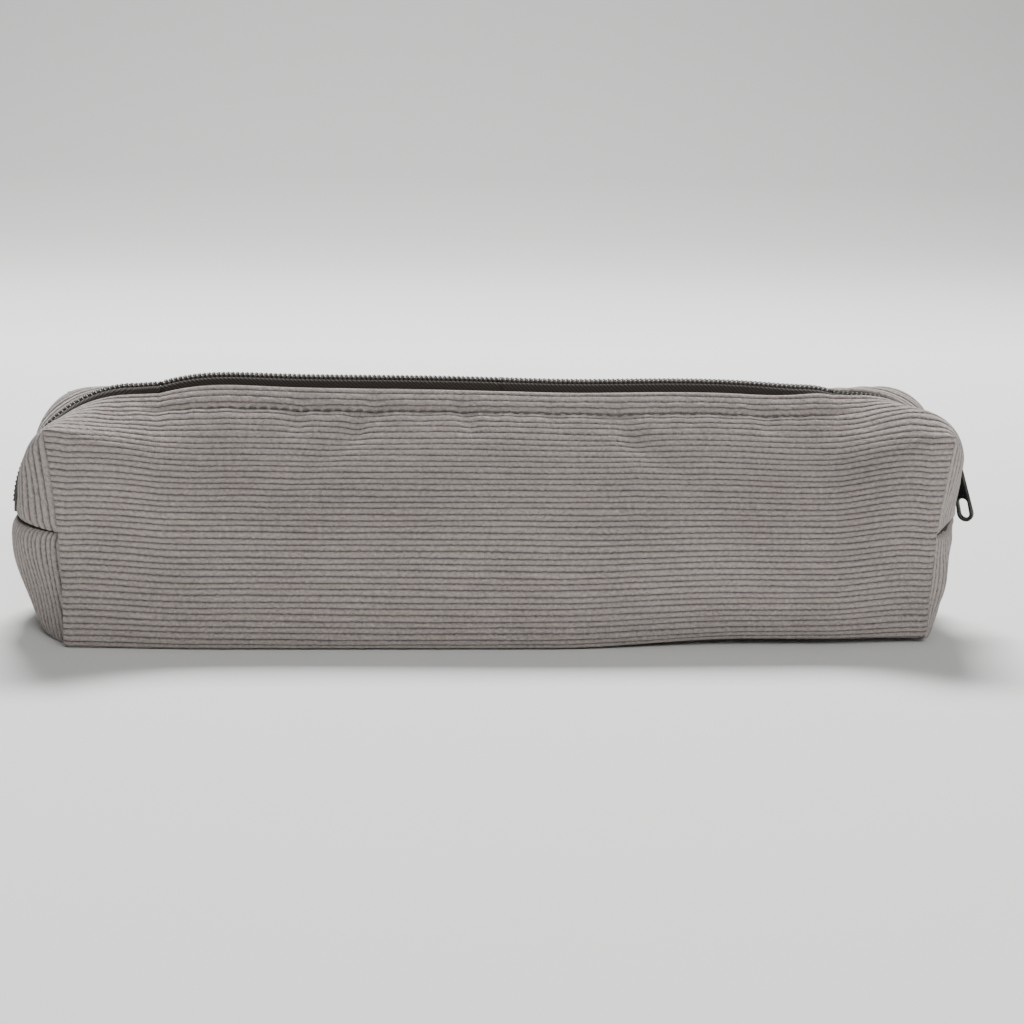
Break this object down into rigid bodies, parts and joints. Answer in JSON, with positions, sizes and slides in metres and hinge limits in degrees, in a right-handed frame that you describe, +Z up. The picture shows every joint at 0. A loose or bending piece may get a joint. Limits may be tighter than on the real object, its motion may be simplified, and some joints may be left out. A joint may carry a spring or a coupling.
{
  "type": "zipped pen case",
  "caption": "Soft boxed pen case in ribbed cloth, padded and lined, with a coil zip along the top and down both ends and a teardrop pull.",
  "frame": {"origin": "centre of the base, on the surface that the case stands on", "axes": "+X along the length towards the end where the pull hangs, +Y from front to back, +Z up"},
  "size_m": [0.2451, 0.0642, 0.0624],
  "materials": {
    "cloth": "fine corduroy, about 16 cords to the inch",
    "padding": "needled wadding",
    "lining": "plain woven cotton",
    "seam_edge": "folded cut edge of the corduroy",
    "zip_tape": "herringbone woven polyester",
    "zip_coil": "satin nylon coil",
    "thread": "polyester sewing thread",
    "enamelled_metal": "black-green enamel, semi-gloss"
  },
  "bodies": {
    "case": {"front_wall": "cloth", "back_wall": "cloth", "base_panel": "cloth", "left_end_lower": "cloth", "right_end_lower": "cloth", "left_shoulder_front": "cloth", "left_shoulder_back": "cloth", "right_shoulder_front": "cloth", "right_shoulder_back": "cloth", "padding_front": "padding", "padding_back": "padding", "padding_base": "padding", "lining_front": "lining", "lining_back": "lining", "lining_base": "lining", "lining_left_end": "lining", "lining_right_end": "lining", "seam_edge_left": "seam_edge", "seam_edge_right": "seam_edge", "corner_seam_edges": "seam_edge", "tape_left_end": "zip_tape", "tape_right_end": "zip_tape", "coil_left_end": "zip_coil", "coil_right_end": "zip_coil"},
    "front_lip": {"lip_front": "cloth", "lip_lining_front": "lining", "tape_front": "zip_tape", "coil_front": "zip_coil", "topstitch_front": "thread"},
    "back_lip": {"lip_back": "cloth", "lip_lining_back": "lining", "tape_back": "zip_tape", "coil_back": "zip_coil", "topstitch_back": "thread"},
    "slider": {"slider_body": "enamelled_metal"},
    "link": {"pull_link": "enamelled_metal"},
    "pull": {"pull_tab": "enamelled_metal"}
  },
  "joints": [
    {"name": "front_lip_swing", "type": "hinge", "parent": "case", "child": "front_lip", "pos_m": [0, -0.0191, 0.0452], "axis": [1, 0, 0], "range_deg": [0, 75]},
    {"name": "back_lip_swing", "type": "hinge", "parent": "case", "child": "back_lip", "pos_m": [0, 0.0191, 0.0452], "axis": [-1, 0, 0], "range_deg": [0, 75]},
    {"name": "slider_run", "type": "hinge", "parent": "case", "child": "slider", "pos_m": [0.0908, 0, 0.033], "axis": [0, -1, 0], "range_deg": [-8, 50]},
    {"name": "link_swing", "type": "hinge", "parent": "slider", "child": "link", "pos_m": [0.11212, 0, 0.05045], "axis": [0, -1, 0], "range_deg": [0, 110]},
    {"name": "pull_swing", "type": "hinge", "parent": "link", "child": "pull", "pos_m": [0.11613, 0, 0.04746], "axis": [0, -1, 0], "range_deg": [0, 85]}
  ]
}
